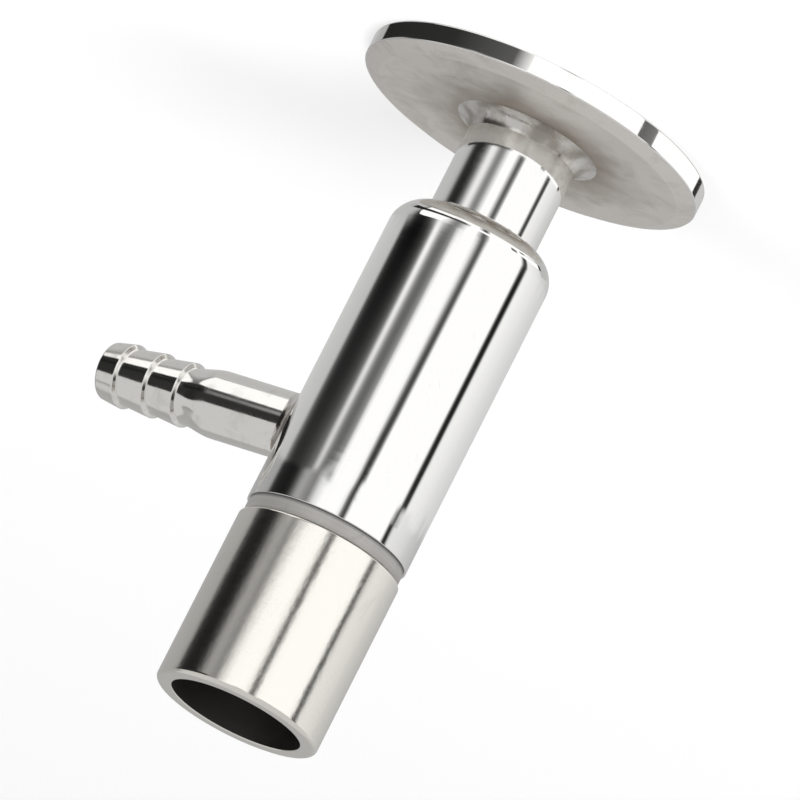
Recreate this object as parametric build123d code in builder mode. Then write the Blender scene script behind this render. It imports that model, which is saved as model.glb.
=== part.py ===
from build123d import *
import math
import os

# Sanitary sampling valve. A clamp ferrule and a neck carry the barrel, which has a hose
# barb at its side. The knob runs on the bonnet's thread and draws the stem, with its
# conical plug, off the seat in the ferrule. Sizes are in millimetres.
# The origin is the centre of the ferrule's sealing face. +Z runs along the valve towards
# the knob, and +X runs out along the hose barb. The valve is drawn closed.

# Clamp ferrule
ferrule_radius = 50.5 / 2
rim_thickness = 2.85
bevel_width = 2.6
bevel_angle = 20.0
rim_break = 0.25
gasket_circle_radius = 43.5 / 2
gasket_groove_radius = 1.7
gasket_groove_depth = 1.3
hub_height = rim_thickness + bevel_width * math.tan(math.radians(bevel_angle))

# Seat, a cone that narrows towards the sealing face
inlet_radius = 4.2
inlet_land = 0.5
seat_top_radius = 5.7
seat_top = 3.0
seat_gap = 0.12

# Neck tube and its weld to the ferrule
neck_radius = 8.0
neck_bore_radius = 6.5
ferrule_weld_radius = 10.6
ferrule_weld_height = 2.0

# Barrel
barrel_radius = 12.0
barrel_bottom = 18.6
barrel_top = 67.0
shoulder_radius = 4.2
barrel_edge = 0.35
cavity_radius = 8.0
cavity_bottom = 24.0
socket_depth = 4.5
bonnet_seat = 58.6

# Hose barb
barb_height = 53.6
barb_tip = 43.4
barb_bore_radius = 3.2
barb_spigot_radius = 4.3
barb_tube_radius = 4.8
barb_crest_radius = 4.62
barb_root_radius = 4.08
ridge_count = 3
first_ridge_length = 3.3
ridge_pitch = 4.95
ridge_step = 0.35
swell_length = 5.0
tip_round = 0.45
barb_weld_leg = 1.5

# Bonnet, with the threaded spigot that carries the knob
bonnet_radius = 9.0
bonnet_groove_height = 61.0
bonnet_cord_radius = 0.9
spigot_radius = 7.92
spigot_top = 78.2
bonnet_bore_radius = 5.6
stop_height = 73.7
stop_thickness = 0.8
bush_radius = 5.4

# Slip washer between barrel and knob
slip_washer_radius = 11.7
slip_washer_top = 69.2

# Stem
stem_radius = 4.0
stem_shoulder = 10.9
head_radius = 3.0
head_bottom = 5.0
head_top = 6.6
stem_neck_radius = 1.9
land_radius = 5.5
land_bottom = 60.0
land_top = 68.6
stem_cord_radius = 0.7
stem_groove_heights = (62.2, 65.8)
stem_thread_radius = 2.5
stem_end = 88.8

# Knob
knob_radius = 12.1
knob_bore_radius = 9.68
knob_bottom = 69.3
knob_top = 95.2
knob_end_round = 0.7
core_recess = 0.3
core_thread_radius = 8.0
web_bottom = 78.6
web_top = 81.6
square_width = 5.6

# Fastening of the knob on the stem
washer_radius = 5.0
washer_top = 82.6
spring_washer_radius = 4.4
spring_washer_top = 83.8
spring_washer_split = 0.9
nut_width = 8.0
nut_top = 87.8

# Clearances
running_gap = 0.05
swivel_gap = 0.1
square_gap = 0.04

os.makedirs("parts", exist_ok=True)


def save(part, name):
    part.label = name
    export_step(part, f"parts/{name}.step")


# Ferrule: the sealing face is at Z = 0, with a round gasket groove. The back has a narrow
# clamp bevel, then a flat underside with a shallow socket for the neck tube.
with BuildPart() as ferrule:
    with BuildSketch(Plane.XZ):
        with BuildLine():
            Polyline(
                (inlet_radius, 0),
                (ferrule_radius, 0),
                (ferrule_radius, rim_thickness),
                (ferrule_radius - bevel_width, hub_height),
                (neck_radius, hub_height),
                (neck_radius, seat_top),
                (seat_top_radius, seat_top),
                (inlet_radius, inlet_land),
                close=True,
            )
        make_face()
        with Locations((gasket_circle_radius, gasket_groove_depth - gasket_groove_radius)):
            Circle(gasket_groove_radius, mode=Mode.SUBTRACT)
    revolve(axis=Axis.Z)
    rim_edges = ferrule.edges().filter_by(GeomType.CIRCLE)
    chamfer(rim_edges.filter_by(lambda edge: abs(edge.radius - ferrule_radius) < 0.01), rim_break)
save(ferrule.part, "ferrule")

# Neck tube: stands in the ferrule's socket and ends in the barrel's shoulder.
with BuildPart() as neck_tube:
    with BuildSketch(Plane.XY.offset(seat_top)):
        Circle(neck_radius)
        Circle(neck_bore_radius, mode=Mode.SUBTRACT)
    extrude(amount=barrel_bottom + socket_depth - seat_top)
save(neck_tube.part, "neck_tube")

# Weld fillet between the ferrule's underside and the neck, hollow in section.
with BuildPart() as ferrule_weld:
    with BuildSketch(Plane.XZ):
        with BuildLine():
            weld_foot = (ferrule_weld_radius, hub_height)
            weld_top = (neck_radius, hub_height + ferrule_weld_height)
            Polyline(weld_top, (neck_radius, hub_height), weld_foot)
            SagittaArc(weld_foot, weld_top, 0.45)
        make_face()
    revolve(axis=Axis.Z)
save(ferrule_weld.part, "ferrule_weld")

# Barrel: the shoulder rounds over to the neck. Inside are the socket of the neck tube, the
# flow cavity and the wider bore that takes the bonnet.
with BuildPart() as barrel:
    with BuildSketch(Plane.XY.offset(barrel_bottom)):
        Circle(barrel_radius)
    extrude(amount=barrel_top - barrel_bottom)
    fillet(barrel.edges().group_by(Axis.Z)[0], shoulder_radius)
    chamfer(barrel.edges().group_by(Axis.Z)[-1], barrel_edge)
    with BuildSketch(Plane.XZ):
        with BuildLine():
            Polyline(
                (0, barrel_bottom),
                (neck_radius, barrel_bottom),
                (neck_radius, barrel_bottom + socket_depth),
                (neck_bore_radius, barrel_bottom + socket_depth),
                (cavity_radius, cavity_bottom),
                (cavity_radius, bonnet_seat),
                (bonnet_radius, bonnet_seat),
                (bonnet_radius, barrel_top),
                (0, barrel_top),
                close=True,
            )
        make_face()
    revolve(axis=Axis.Z, mode=Mode.SUBTRACT)
    with BuildSketch(Plane.YZ):
        with Locations((0, barb_height)):
            Circle(barb_spigot_radius)
    extrude(amount=barrel_radius, mode=Mode.SUBTRACT)
save(barrel.part, "barrel")

# Hose barb: each ridge is a cone that widens away from the tip and then steps down. Behind
# the last one the tube swells to its full size, is cut to the barrel's curve and ends in a
# spigot that fills the hole in the barrel's wall.
barb_axis = Axis((0, 0, barb_height), (1, 0, 0))
ridge_backs = [barb_tip - first_ridge_length - i * ridge_pitch for i in range(ridge_count)]
ridge_profile = [(barb_tip, barb_root_radius)]
for back in ridge_backs:
    ridge_profile.append((back, barb_crest_radius))
    ridge_profile.append((back - ridge_step, barb_root_radius))
swell_start = ridge_backs[-1] - ridge_step
swell_end = swell_start - swell_length
profile_points = [(x, barb_height + r) for x, r in ridge_profile]
tube_inner_end = cavity_radius + 0.5

with BuildPart() as hose_barb:
    with BuildSketch(Plane.XZ):
        with BuildLine():
            Polyline(*profile_points)
            Spline(
                (swell_start, barb_height + barb_root_radius),
                (swell_end, barb_height + barb_tube_radius),
                tangents=[(-1, 0), (-1, 0)],
            )
            Polyline(
                (swell_end, barb_height + barb_tube_radius),
                (tube_inner_end, barb_height + barb_tube_radius),
                (tube_inner_end, barb_height),
                (barb_tip, barb_height),
                (barb_tip, barb_height + barb_root_radius),
            )
        make_face()
    revolve(axis=barb_axis)
    tip_edge = hose_barb.edges().group_by(Axis.X)[-1]
    fillet(tip_edge, tip_round)
    with BuildSketch(Plane.XY.offset(barb_height - 2 * barb_tube_radius)):
        Circle(barrel_radius)
    extrude(amount=4 * barb_tube_radius, mode=Mode.SUBTRACT)
    with BuildSketch(Plane.YZ.offset(tube_inner_end)):
        with Locations((0, barb_height)):
            Circle(barb_spigot_radius)
    extrude(amount=2 * (barrel_radius - cavity_radius))
    with BuildSketch(Plane.YZ):
        with Locations((0, barb_height)):
            Circle(barb_bore_radius)
    extrude(amount=barb_tip + 1, mode=Mode.SUBTRACT)
save(hose_barb.part, "hose_barb")

# Weld around the barb: an even hollow fillet along the curve where tube and barrel meet. It
# is what the fillet adds to the two plain cylinders.
with BuildPart() as barb_weld:
    weld_zone_bottom = Plane.XY.offset(barb_height - 2 * barb_tube_radius)
    with BuildSketch(weld_zone_bottom):
        Circle(barrel_radius)
    extrude(amount=4 * barb_tube_radius)
    with BuildSketch(Plane.YZ):
        with Locations((0, barb_height)):
            Circle(barb_tube_radius)
    extrude(amount=barrel_radius + 3 * barb_weld_leg)
    meeting_curve = barb_weld.edges().filter_by(
        lambda edge: edge.geom_type not in (GeomType.LINE, GeomType.CIRCLE)
    )
    fillet(meeting_curve, barb_weld_leg)
    with BuildSketch(weld_zone_bottom):
        Circle(barrel_radius)
    extrude(amount=4 * barb_tube_radius, mode=Mode.SUBTRACT)
    with BuildSketch(Plane.YZ):
        with Locations((0, barb_height)):
            Circle(barb_tube_radius)
    extrude(amount=barb_tip, mode=Mode.SUBTRACT)
save(barb_weld.part, "barb_weld")


# O-ring, lying level at a height. Its cord is eight-sided, with flats where it is squeezed
# between bore and groove.
def make_o_ring(name, height, centre_radius, cord_radius):
    with BuildPart() as ring:
        with BuildSketch(Plane.XZ):
            with Locations((centre_radius, height)):
                RegularPolygon(cord_radius, 8, major_radius=False, rotation=22.5)
        revolve(axis=Axis.Z)
    save(ring.part, name)


# Bonnet: the lower collar sits in the barrel on the bonnet seat and the spigot stands out
# of it. The bore takes the stem's land and ends at a stop ring, above which is the pocket
# of the guide bush.
bush_bottom = stop_height + stop_thickness
bonnet_groove_half = bonnet_cord_radius + 0.25
bonnet_groove_floor = bonnet_radius - 2 * bonnet_cord_radius
with BuildPart() as bonnet:
    with BuildSketch(Plane.XZ):
        with BuildLine():
            Polyline(
                (bonnet_bore_radius, bonnet_seat),
                (bonnet_radius, bonnet_seat),
                (bonnet_radius, bonnet_groove_height - bonnet_groove_half),
                (bonnet_groove_floor, bonnet_groove_height - bonnet_groove_half),
                (bonnet_groove_floor, bonnet_groove_height + bonnet_groove_half),
                (bonnet_radius, bonnet_groove_height + bonnet_groove_half),
                (bonnet_radius, barrel_top),
                (spigot_radius, barrel_top),
                (spigot_radius, spigot_top),
                (bush_radius, spigot_top),
                (bush_radius, bush_bottom),
                (stem_radius + 0.3, bush_bottom),
                (stem_radius + 0.3, stop_height),
                (bonnet_bore_radius, stop_height),
                close=True,
            )
        make_face()
    revolve(axis=Axis.Z)
    spigot_edges = bonnet.edges().filter_by(GeomType.CIRCLE).filter_by_position(
        Axis.Z, spigot_top - 0.01, spigot_top + 0.01
    )
    chamfer(spigot_edges.sort_by(SortBy.RADIUS)[-1], 0.5)
save(bonnet.part, "bonnet")

make_o_ring(
    "bonnet_o_ring",
    bonnet_groove_height,
    bonnet_radius - bonnet_cord_radius,
    bonnet_cord_radius - 0.02,
)

# Guide bush: lines the top of the bonnet, where the stem runs through.
with BuildPart() as guide_bush:
    with BuildSketch(Plane.XY.offset(bush_bottom)):
        Circle(bush_radius)
        Circle(stem_radius + running_gap, mode=Mode.SUBTRACT)
    extrude(amount=spigot_top - bush_bottom)
save(guide_bush.part, "guide_bush")

# Slip washer: lies on the barrel around the spigot, a little narrower than the barrel.
with BuildPart() as slip_washer:
    with BuildSketch(Plane.XY.offset(barrel_top)):
        Circle(slip_washer_radius)
        Circle(spigot_radius + running_gap, mode=Mode.SUBTRACT)
    extrude(amount=slip_washer_top - barrel_top)
    chamfer(slip_washer.edges().group_by(Axis.Z)[-1].sort_by(SortBy.RADIUS)[-1], 0.15)
save(slip_washer.part, "slip_washer")

# Seat plug: a soft cone with a skirt, moulded round its core. Its face lies just inside
# the sealing face, and its flank stands off the seat by the seat gap.
plug_face = 0.25
core_bottom = 2.6
core_shoulder = 9.0
core_top = 10.6
core_radius = 4.2
core_flange_radius = 5.2
skirt_radius = seat_top_radius - seat_gap
with BuildPart() as seat_plug:
    with BuildSketch(Plane.XZ):
        with BuildLine():
            Polyline(
                (0, plug_face),
                (inlet_radius - seat_gap, plug_face),
                (inlet_radius - seat_gap, inlet_land),
                (skirt_radius, seat_top),
                (skirt_radius, core_shoulder),
                (core_radius, core_shoulder),
                (core_radius, core_bottom),
                (0, core_bottom),
                close=True,
            )
        make_face()
    revolve(axis=Axis.Z)
save(seat_plug.part, "seat_plug")

# Plug core: a flanged peg with a T-slot, open towards -X, that slides over the stem's head
# and lets the head turn in it.
with BuildPart() as plug_core:
    with BuildSketch(Plane.XZ):
        with BuildLine():
            Polyline(
                (0, core_bottom),
                (core_radius, core_bottom),
                (core_radius, core_shoulder),
                (core_flange_radius, core_shoulder),
                (core_flange_radius, core_top),
                (0, core_top),
                close=True,
            )
        make_face()
    revolve(axis=Axis.Z)
    slot_reach = core_flange_radius + 1
    for slot_radius, slot_bottom, slot_top in (
        (head_radius + swivel_gap, head_bottom - swivel_gap, head_top + swivel_gap),
        (stem_neck_radius + swivel_gap, head_top, core_top),
    ):
        with BuildSketch(Plane.XY.offset(slot_bottom)):
            Circle(slot_radius)
            with Locations((-slot_reach / 2, 0)):
                Rectangle(slot_reach, 2 * slot_radius)
        extrude(amount=slot_top - slot_bottom, mode=Mode.SUBTRACT)
save(plug_core.part, "plug_core")

# Stem: the head in the plug core, the shaft, the land with its two O-ring grooves, the
# guided shaft, the square that drives the knob and the threaded end.
groove_half = stem_cord_radius + 0.2
groove_floor = bonnet_bore_radius - 2 * stem_cord_radius - 0.05
thread_start = web_top - 0.4
with BuildPart() as stem:
    with BuildSketch(Plane.XZ):
        with BuildLine():
            Polyline(
                (0, head_bottom),
                (head_radius, head_bottom),
                (head_radius, head_top),
                (stem_neck_radius, head_top),
                (stem_neck_radius, stem_shoulder),
                (stem_radius - 1.2, stem_shoulder),
                (stem_radius, stem_shoulder + 1.2),
                (stem_radius, land_bottom - 1.5),
                (land_radius, land_bottom),
                (land_radius, land_top),
                (stem_radius, land_top),
                (stem_radius, web_bottom),
                (0, web_bottom),
                close=True,
            )
        make_face()
        for height in stem_groove_heights:
            with Locations((groove_floor + 2, height)):
                Rectangle(4, 2 * groove_half, mode=Mode.SUBTRACT)
    revolve(axis=Axis.Z)
    with BuildSketch(Plane.XY.offset(web_bottom)):
        Rectangle(square_width, square_width)
        Circle(stem_radius - running_gap, mode=Mode.INTERSECT)
    extrude(amount=thread_start - web_bottom)
    with BuildSketch(Plane.XY.offset(thread_start)):
        Circle(stem_thread_radius)
    extrude(amount=stem_end - thread_start)
    chamfer(stem.edges().group_by(Axis.Z)[-1], 0.4)
save(stem.part, "stem")

for name, height in zip(("lower_stem_o_ring", "upper_stem_o_ring"), stem_groove_heights):
    ring_centre = bonnet_bore_radius - stem_cord_radius - 0.03
    make_o_ring(name, height, ring_centre, stem_cord_radius)

# Knob sleeve: a plain tube, rounded at its open end.
with BuildPart() as knob_sleeve:
    with BuildSketch(Plane.XY.offset(knob_bottom)):
        Circle(knob_radius)
        Circle(knob_bore_radius, mode=Mode.SUBTRACT)
    extrude(amount=knob_top - knob_bottom)
    top_edges = knob_sleeve.edges().group_by(Axis.Z)[-1].sort_by(SortBy.RADIUS)
    bottom_edges = knob_sleeve.edges().group_by(Axis.Z)[0].sort_by(SortBy.RADIUS)
    fillet(top_edges[-1], knob_end_round)
    chamfer(top_edges[0], 0.2)
    chamfer(bottom_edges[-1], 0.25)
save(knob_sleeve.part, "knob_sleeve")

# Knob core: fixed in the sleeve. Its lower bore runs on the bonnet's spigot, and its web
# has the square hole that turns the stem.
with BuildPart() as knob_core:
    core_foot = knob_bottom + core_recess
    with BuildSketch(Plane.XY.offset(core_foot)):
        Circle(knob_bore_radius)
    extrude(amount=web_top - core_foot)
    with BuildSketch(Plane.XY.offset(core_foot)):
        Circle(core_thread_radius)
    extrude(amount=web_bottom - core_foot, mode=Mode.SUBTRACT)
    with BuildSketch(Plane.XY.offset(web_bottom)):
        Rectangle(square_width + 2 * square_gap, square_width + 2 * square_gap)
    extrude(amount=web_top - web_bottom, mode=Mode.SUBTRACT)
save(knob_core.part, "knob_core")

# Flat washer on the web
with BuildPart() as flat_washer:
    with BuildSketch(Plane.XY.offset(web_top)):
        Circle(washer_radius)
        Circle(stem_thread_radius + 0.15, mode=Mode.SUBTRACT)
    extrude(amount=washer_top - web_top)
save(flat_washer.part, "flat_washer")

# Spring washer, split at one side
with BuildPart() as spring_washer:
    with BuildSketch(Plane.XY.offset(washer_top)):
        Circle(spring_washer_radius)
        Circle(stem_thread_radius + 0.1, mode=Mode.SUBTRACT)
        with Locations((spring_washer_radius, 0)):
            Rectangle(spring_washer_radius, spring_washer_split, rotation=15, mode=Mode.SUBTRACT)
    extrude(amount=spring_washer_top - washer_top)
save(spring_washer.part, "spring_washer")

# Hexagon nut, with its corners turned off at the top
with BuildPart() as stem_nut:
    nut_height = nut_top - spring_washer_top
    with BuildSketch(Plane.XY.offset(spring_washer_top)):
        RegularPolygon(nut_width / 2, 6, major_radius=False)
        Circle(stem_thread_radius + 0.02, mode=Mode.SUBTRACT)
    extrude(amount=nut_height)
    with BuildSketch(Plane.XZ):
        with BuildLine():
            Polyline(
                (0, spring_washer_top),
                (nut_width, spring_washer_top),
                (nut_width / 2, nut_top),
                (0, nut_top),
                close=True,
            )
        make_face()
    revolve(axis=Axis.Z, mode=Mode.INTERSECT)
save(stem_nut.part, "stem_nut")
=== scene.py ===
import math
import bmesh
import bpy
from mathutils import Matrix, Quaternion, Vector


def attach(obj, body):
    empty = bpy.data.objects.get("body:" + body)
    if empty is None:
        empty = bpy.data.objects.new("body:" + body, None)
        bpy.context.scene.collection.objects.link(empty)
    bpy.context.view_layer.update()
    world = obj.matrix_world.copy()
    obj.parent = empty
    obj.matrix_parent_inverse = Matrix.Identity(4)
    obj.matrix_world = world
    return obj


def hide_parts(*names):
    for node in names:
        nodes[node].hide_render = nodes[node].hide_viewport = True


# Looks of a sanitary sampling valve. Lengths in the dictionaries are in millimetres.
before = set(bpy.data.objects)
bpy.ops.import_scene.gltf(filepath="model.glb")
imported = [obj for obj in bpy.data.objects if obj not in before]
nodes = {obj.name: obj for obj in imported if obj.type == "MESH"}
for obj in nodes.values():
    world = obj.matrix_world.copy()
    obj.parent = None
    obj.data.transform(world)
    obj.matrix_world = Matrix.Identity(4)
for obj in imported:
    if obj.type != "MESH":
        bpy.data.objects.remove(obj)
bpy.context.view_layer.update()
mm = 0.001
micron = 0.000001
scene = bpy.context.scene
print("frame loaded,", len(nodes), "nodes")


# Node helpers: a value may be a number, a colour or another node's output
def feed(tree, socket, value):
    if isinstance(value, bpy.types.NodeSocket):
        tree.links.new(value, socket)
    else:
        socket.default_value = value


def put(tree, kind, values=None, **settings):
    node = tree.nodes.new(kind)
    for key, value in settings.items():
        setattr(node, key, value)
    for key, value in (values or {}).items():
        feed(tree, node.inputs[key], value)
    return node


def calc(tree, operation, *values):
    node = put(tree, "ShaderNodeMath", dict(enumerate(values)), operation=operation)
    return node.outputs[0]


def times(tree, first, *others):
    for other in others:
        first = calc(tree, "MULTIPLY", first, other)
    return first


def vectorCalc(tree, operation, *values):
    sockets = (0, "Scale") if operation == "SCALE" else (0, 1)
    node = put(tree, "ShaderNodeVectorMath", dict(zip(sockets, values)), operation=operation)
    return node.outputs["Value" if operation == "LENGTH" else "Vector"]


def parts(tree, vector):
    return put(tree, "ShaderNodeSeparateXYZ", {0: vector}).outputs


def join(tree, *values):
    return put(tree, "ShaderNodeCombineXYZ", dict(enumerate(values))).outputs[0]


def noise(tree, where, scale, detail=2.0, roughness=0.5, distortion=0.0):
    values = {"Vector": where, "Scale": scale, "Detail": detail, "Roughness": roughness,
              "Distortion": distortion}
    return put(tree, "ShaderNodeTexNoise", values).outputs[0]


def blend(tree, share, first, second):
    node = put(tree, "ShaderNodeMix", {0: share}, data_type="RGBA")
    for socket, colour in ((6, first), (7, second)):
        feed(tree, node.inputs[socket], (*colour, 1) if isinstance(colour, tuple) else colour)
    return node.outputs[2]


def spread(tree, value, low, high, toLow=0.0, toHigh=1.0):
    values = {"Value": value, "From Min": low, "From Max": high, "To Min": toLow, "To Max": toHigh}
    return put(tree, "ShaderNodeMapRange", values).outputs[0]


def bump(tree, height, depth, under=None):
    values = {"Height": height, "Distance": depth}
    if under is not None:
        values["Normal"] = under
    return put(tree, "ShaderNodeBump", values).outputs[0]


def newTree(name, kind, inputs, outputs):
    tree = bpy.data.node_groups.new(name, kind)
    for label, socketKind, value in inputs:
        socket = tree.interface.new_socket(label, in_out="INPUT", socket_type=socketKind)
        if value is not None:
            socket.default_value = value
    for label, socketKind in outputs:
        tree.interface.new_socket(label, in_out="OUTPUT", socket_type=socketKind)
    return tree, put(tree, "NodeGroupInput").outputs, put(tree, "NodeGroupOutput").inputs


# Fine rings left by the lathe: they change along the axis and along the radius
ringMarks = {"detail": 3.0, "roughness": 0.65, "mask": (0.42, 0.68)}


def makeTurningMarks(marks):
    tree, given, out = newTree("turningMarks", "ShaderNodeTree", [
        ("Vector", "NodeSocketVector", None),
        ("Spacing", "NodeSocketFloat", 0.2),
        ("Wander", "NodeSocketFloat", 0.4),
    ], [("Height", "NodeSocketFloat"), ("Mask", "NodeSocketFloat")])
    x, y, z = parts(tree, given["Vector"])
    flat = join(tree, x, y)
    along = calc(tree, "ADD", vectorCalc(tree, "LENGTH", flat), z)
    turns = calc(tree, "DIVIDE", along, times(tree, given["Spacing"], mm))
    aside = vectorCalc(tree, "SCALE", vectorCalc(tree, "NORMALIZE", flat), given["Wander"])
    where = vectorCalc(tree, "ADD", aside, join(tree, 0.0, 0.0, turns))
    rings = noise(tree, where, 1.0, marks["detail"], marks["roughness"])
    feed(tree, out["Height"], rings)
    feed(tree, out["Mask"], spread(tree, rings, *marks["mask"]))
    return tree


# Hairline scratches in two crossing directions: each lay is a turn and a shift
hairMarks = {"across": 9000.0, "along": 1560.0, "zones": 160.0, "bare": (0.45, 0.62),
             "edge": 0.74, "gain": 0.12, "soft": 0.05,
             "lays": (((0.5, 0.3, 0.9), (3.1, 0.93, 0.0)), ((-0.7, 0.2, 2.2), (7.7, 2.31, 0.0)))}


def makeHairlines(marks):
    tree, given, out = newTree("hairlines", "ShaderNodeTree", [
        ("Vector", "NodeSocketVector", None),
        ("Length", "NodeSocketFloat", 6.0),
        ("Amount", "NodeSocketFloat", 0.4),
    ], [("Mask", "NodeSocketFloat")])
    edge = calc(tree, "SUBTRACT", marks["edge"], times(tree, given["Amount"], marks["gain"]))
    fullEdge = calc(tree, "ADD", edge, marks["soft"])
    along = calc(tree, "DIVIDE", marks["along"], given["Length"])
    slender = join(tree, marks["across"], marks["across"], along)
    found = []
    for turn, shift in marks["lays"]:
        laid = put(tree, "ShaderNodeMapping", {"Vector": given["Vector"], "Rotation": turn,
                                               "Location": shift}).outputs[0]
        fibres = noise(tree, vectorCalc(tree, "MULTIPLY", laid, slender), 1.0, 1.0)
        zones = spread(tree, noise(tree, laid, marks["zones"]), *marks["bare"])
        found.append(times(tree, spread(tree, fibres, edge, fullEdge), zones))
    feed(tree, out["Mask"], calc(tree, "MAXIMUM", *found))
    return tree


# Soft patches: wiped-off marks, faint stains
patchMarks = {"detail": 5.0, "roughness": 0.62, "distortion": 0.6, "edge": 0.78, "gain": 0.5,
              "soft": 0.22, "grain": 5200.0}


def makeHandlingMarks(marks):
    tree, given, out = newTree("handlingMarks", "ShaderNodeTree", [
        ("Vector", "NodeSocketVector", None),
        ("Size", "NodeSocketFloat", 8.0),
        ("Cover", "NodeSocketFloat", 0.4),
    ], [("Mask", "NodeSocketFloat"), ("Grain", "NodeSocketFloat")])
    scale = calc(tree, "DIVIDE", 1 / mm, given["Size"])
    patches = noise(tree, given["Vector"], scale, marks["detail"], marks["roughness"],
                    marks["distortion"])
    edge = calc(tree, "SUBTRACT", marks["edge"], times(tree, given["Cover"], marks["gain"]))
    fullEdge = calc(tree, "ADD", edge, marks["soft"])
    feed(tree, out["Mask"], spread(tree, patches, edge, fullEdge))
    feed(tree, out["Grain"], noise(tree, given["Vector"], marks["grain"]))
    return tree


# Slow swell of a hand-polished face, stretched along the axis
waveMarks = {"stretch": (1.0, 1.0, 0.55), "detail": 1.5, "roughness": 0.4}


def makePolishWaves(marks):
    tree, given, out = newTree("polishWaves", "ShaderNodeTree", [
        ("Vector", "NodeSocketVector", None),
        ("Size", "NodeSocketFloat", 12.0),
    ], [("Height", "NodeSocketFloat")])
    scale = calc(tree, "DIVIDE", 1 / mm, given["Size"])
    laid = vectorCalc(tree, "MULTIPLY", given["Vector"], marks["stretch"])
    feed(tree, out["Height"], noise(tree, laid, scale, marks["detail"], marks["roughness"]))
    return tree


turningMarks = makeTurningMarks(ringMarks)
hairlines = makeHairlines(hairMarks)
handlingMarks = makeHandlingMarks(patchMarks)
polishWaves = makePolishWaves(waveMarks)
print("shared effects made")


def newMaterial(name, metallic):
    material = bpy.data.materials.new(name)
    material.use_nodes = True
    tree = material.node_tree
    shader = tree.nodes["Principled BSDF"]
    shader.inputs["Metallic"].default_value = metallic
    return material, tree, shader, put(tree, "ShaderNodeTexCoord").outputs["Object"]


def effect(tree, group, where, **values):
    values["Vector"] = where
    return put(tree, "ShaderNodeGroup", values, node_tree=group).outputs


# One steel, finished in several ways; the hollow look is near black, painted shade for the knob's
# bore. Roughness is from clean to worn; rings and waves are a
#  spacing in millimetres and a depth in microns; hairs are length and amount; patches are size
#  and cover
steelLooks = {
    "polishedSteel": {
        "colour": (0.86, 0.855, 0.84), "worn": (0.74, 0.735, 0.72), "roughness": (0.035, 0.11),
        "rings": (0.35, 0.06), "waves": (16.0, 7.0), "hairs": (7.0, 0.35), "patches": (9.0, 0.25),
    },
    "barrelSteel": {
        "colour": (0.86, 0.855, 0.84), "worn": (0.72, 0.715, 0.70), "roughness": (0.03, 0.10),
        "rings": (0.35, 0.06), "waves": (16.0, 6.0), "hairs": (7.0, 0.35), "patches": (9.0, 0.25),
        "dents": {"low": 46.0, "high": 64.0, "size": 8.0, "depth": 75.0},
    },
    "satinSteel": {
        "colour": (0.87, 0.845, 0.79), "worn": (0.70, 0.675, 0.62), "roughness": (0.13, 0.22),
        "rings": (0.22, 0.55), "waves": (0.8, 11.0), "hairs": (5.0, 0.5), "patches": (10.0, 0.35),
    },
    # painted shade: near-black colour for the knob's bore and core, standing in for the shade
    # inside the hollow
    "paintedShadeHollow": {
        "colour": (0.11, 0.105, 0.098), "worn": (0.14, 0.135, 0.125), "roughness": (0.45, 0.62),
        "rings": (0.4, 1.5), "waves": (12.0, 2.0), "hairs": (5.0, 0.4), "patches": (5.0, 0.4),
    },
    "ferruleEdge": {
        "colour": (0.86, 0.85, 0.83), "worn": (0.70, 0.68, 0.64), "roughness": (0.06, 0.16),
        "rings": (0.25, 0.12), "waves": (12.0, 5.0), "hairs": (5.0, 0.5), "patches": (6.0, 0.3),
    },
    "ferruleBack": {
        "colour": (0.86, 0.83, 0.79), "worn": (0.62, 0.58, 0.53), "roughness": (0.46, 0.62),
        "rings": (0.45, 2.2), "waves": (20.0, 2.0), "hairs": (6.0, 0.5), "patches": (6.0, 0.55),
        "halo": {"from": 10.0, "to": 19.0, "reach": 0.9, "tint": (0.40, 0.345, 0.29)},
    },
    "barbSteel": {
        "colour": (0.87, 0.855, 0.82), "worn": (0.66, 0.64, 0.60), "roughness": (0.09, 0.22),
        "rings": (0.22, 0.7), "waves": (0.8, 6.0), "hairs": (4.0, 0.5), "patches": (3.5, 0.5),
        "axisHeight": 53.6,
    },
    "machinedSteel": {
        "colour": (0.66, 0.65, 0.63), "worn": (0.50, 0.49, 0.47), "roughness": (0.28, 0.42),
        "rings": (0.25, 1.2), "waves": (10.0, 1.0), "hairs": (4.0, 0.6), "patches": (5.0, 0.5),
    },
}
# How strongly each effect shows on any steel, and how uneven the heat tint's outer side is
steelMix = {"soil": 0.6, "scratch": 0.8, "ringDull": 0.35, "scratchDepth": 0.5, "ior": 2.5,
            "haloScale": 130.0, "haloDrift": 14.0, "dentRoughness": 0.35}


# Heat tint round the neck's weld
def addHalo(tree, where, colour, halo):
    radius = vectorCalc(tree, "LENGTH", vectorCalc(tree, "MULTIPLY", where, (1, 1, 0)))
    drift = noise(tree, where, steelMix["haloScale"], 3.0)
    uneven = times(tree, calc(tree, "SUBTRACT", drift, 0.5), steelMix["haloDrift"] * mm)
    heat = spread(tree, calc(tree, "ADD", radius, uneven), halo["from"] * mm, halo["to"] * mm,
                  halo["reach"], 0.0)
    return blend(tree, heat, colour, halo["tint"])


# Deeper unevenness that sets in along the axis
def addDents(tree, where, swell, dents):
    depth = noise(tree, where, 1 / (dents["size"] * mm), 1.0, steelMix["dentRoughness"])
    setsIn = spread(tree, parts(tree, where)[2], dents["low"] * mm, dents["high"] * mm)
    return bump(tree, times(tree, depth, setsIn), dents["depth"] * micron, swell)


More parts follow.
